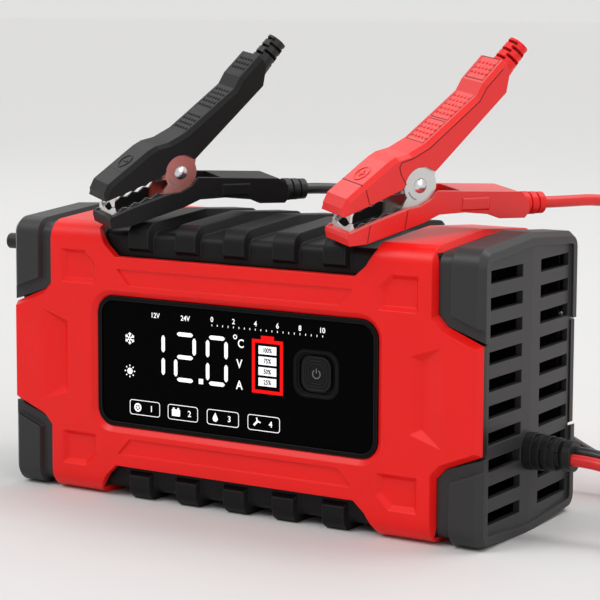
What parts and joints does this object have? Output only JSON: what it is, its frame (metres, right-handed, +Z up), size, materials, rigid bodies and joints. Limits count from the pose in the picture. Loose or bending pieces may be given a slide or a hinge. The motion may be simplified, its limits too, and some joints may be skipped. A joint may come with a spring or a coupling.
{
  "type": "car battery charger",
  "caption": "Free-standing car battery charger with a red and black casing, a dark display, and two sprung battery clamps on loose leads.",
  "frame": {"origin": "middle of the casing's footprint, on the surface it stands on", "axes": "+Z up, +X along the front to the viewer's right, +Y from the front to the back"},
  "size_m": [0.3324, 0.1297, 0.1706],
  "materials": {
    "red_plastic": "satin",
    "black_grip": "satin, fine grain",
    "black_plastic": "fine matt grain",
    "display_glass": "gloss",
    "button_rubber": "satin",
    "circuit_board": "solder resist",
    "black_parts": "matt",
    "steel": "zinc plated",
    "aluminium": "extruded",
    "ferrite": "matt",
    "copper": "enamelled",
    "red_lead": "satin",
    "black_lead": "satin",
    "jaw_steel": "bright plated",
    "jaw_copper": "copper plated",
    "red_clamp_plastic": "satin"
  },
  "bodies": {
    "root": {"black_clamp_lower_boot": "black_plastic", "black_clamp_lower_jaw": "jaw_copper", "black_clamp_lower_lever": "black_plastic", "black_clamp_pivot_rivet": "steel", "black_clamp_torsion_spring": "steel", "black_lead_coil": "black_lead", "black_lead_from_charger": "black_lead", "black_lead_to_clamp": "black_lead", "board_screws": "steel", "bottom_grip": "black_grip", "capacitors": "steel", "casing_screws": "steel", "choke": "copper", "coil_tie": "black_lead", "digit_module": "black_parts", "display_board": "circuit_board", "display_frame": "black_plastic", "display_screws": "steel", "display_window": "display_glass", "fan_frame": "black_parts", "fan_screws": "steel", "front_heat_sink": "aluminium", "front_shell": "red_plastic", "fuse": "steel", "left_end_cap": "black_plastic", "main_board": "circuit_board", "mains_gland": "black_plastic", "output_strain_relief": "black_plastic", "power_transistors": "black_parts", "push_switch": "black_parts", "rear_heat_sink": "aluminium", "rear_shell": "red_plastic", "red_clamp_lower_boot": "red_clamp_plastic", "red_clamp_lower_jaw": "jaw_steel", "red_clamp_lower_lever": "red_clamp_plastic", "red_clamp_pivot_rivet": "steel", "red_clamp_torsion_spring": "steel", "red_lead_coil": "red_lead", "red_lead_from_charger": "red_lead", "red_lead_to_clamp": "red_lead", "right_end_cap": "black_plastic", "top_grip": "black_grip", "transformer_core": "ferrite", "transformer_winding": "copper"},
    "mode_button": {"mode_button": "button_rubber"},
    "fan_rotor": {"fan_rotor": "black_parts"},
    "red_clamp_top": {"red_clamp_upper_lever": "red_clamp_plastic", "red_clamp_upper_jaw": "jaw_steel", "red_clamp_upper_boot": "red_clamp_plastic"},
    "black_clamp_top": {"black_clamp_upper_lever": "black_plastic", "black_clamp_upper_jaw": "jaw_copper", "black_clamp_upper_boot": "black_plastic"}
  },
  "joints": [
    {"name": "mode_button_press", "type": "slide", "parent": "root", "child": "mode_button", "axis": [0, 1, 0], "range_m": [0, 0.0006], "stiffness_N_per_m": 600},
    {"name": "fan_spin", "type": "hinge", "parent": "root", "child": "fan_rotor", "pos_m": [-0.0898, 0, 0.043], "axis": [1, 0, 0], "continuous": true},
    {"name": "red_clamp_open", "type": "hinge", "parent": "root", "child": "red_clamp_top", "pos_m": [0.06115, -0.01968, 0.12119], "axis": [-0.8595, 0.5003, 0.1045], "range_deg": [0, 32], "stiffness_Nm_per_rad": 0.6, "springref_deg": -28.65, "deforming": ["red_clamp_torsion_spring"]},
    {"name": "black_clamp_open", "type": "hinge", "parent": "root", "child": "black_clamp_top", "pos_m": [-0.03785, -0.01968, 0.12119], "axis": [-0.8595, 0.5003, 0.1045], "range_deg": [0, 32], "stiffness_Nm_per_rad": 0.6, "springref_deg": -28.65, "deforming": ["black_clamp_torsion_spring"]}
  ]
}
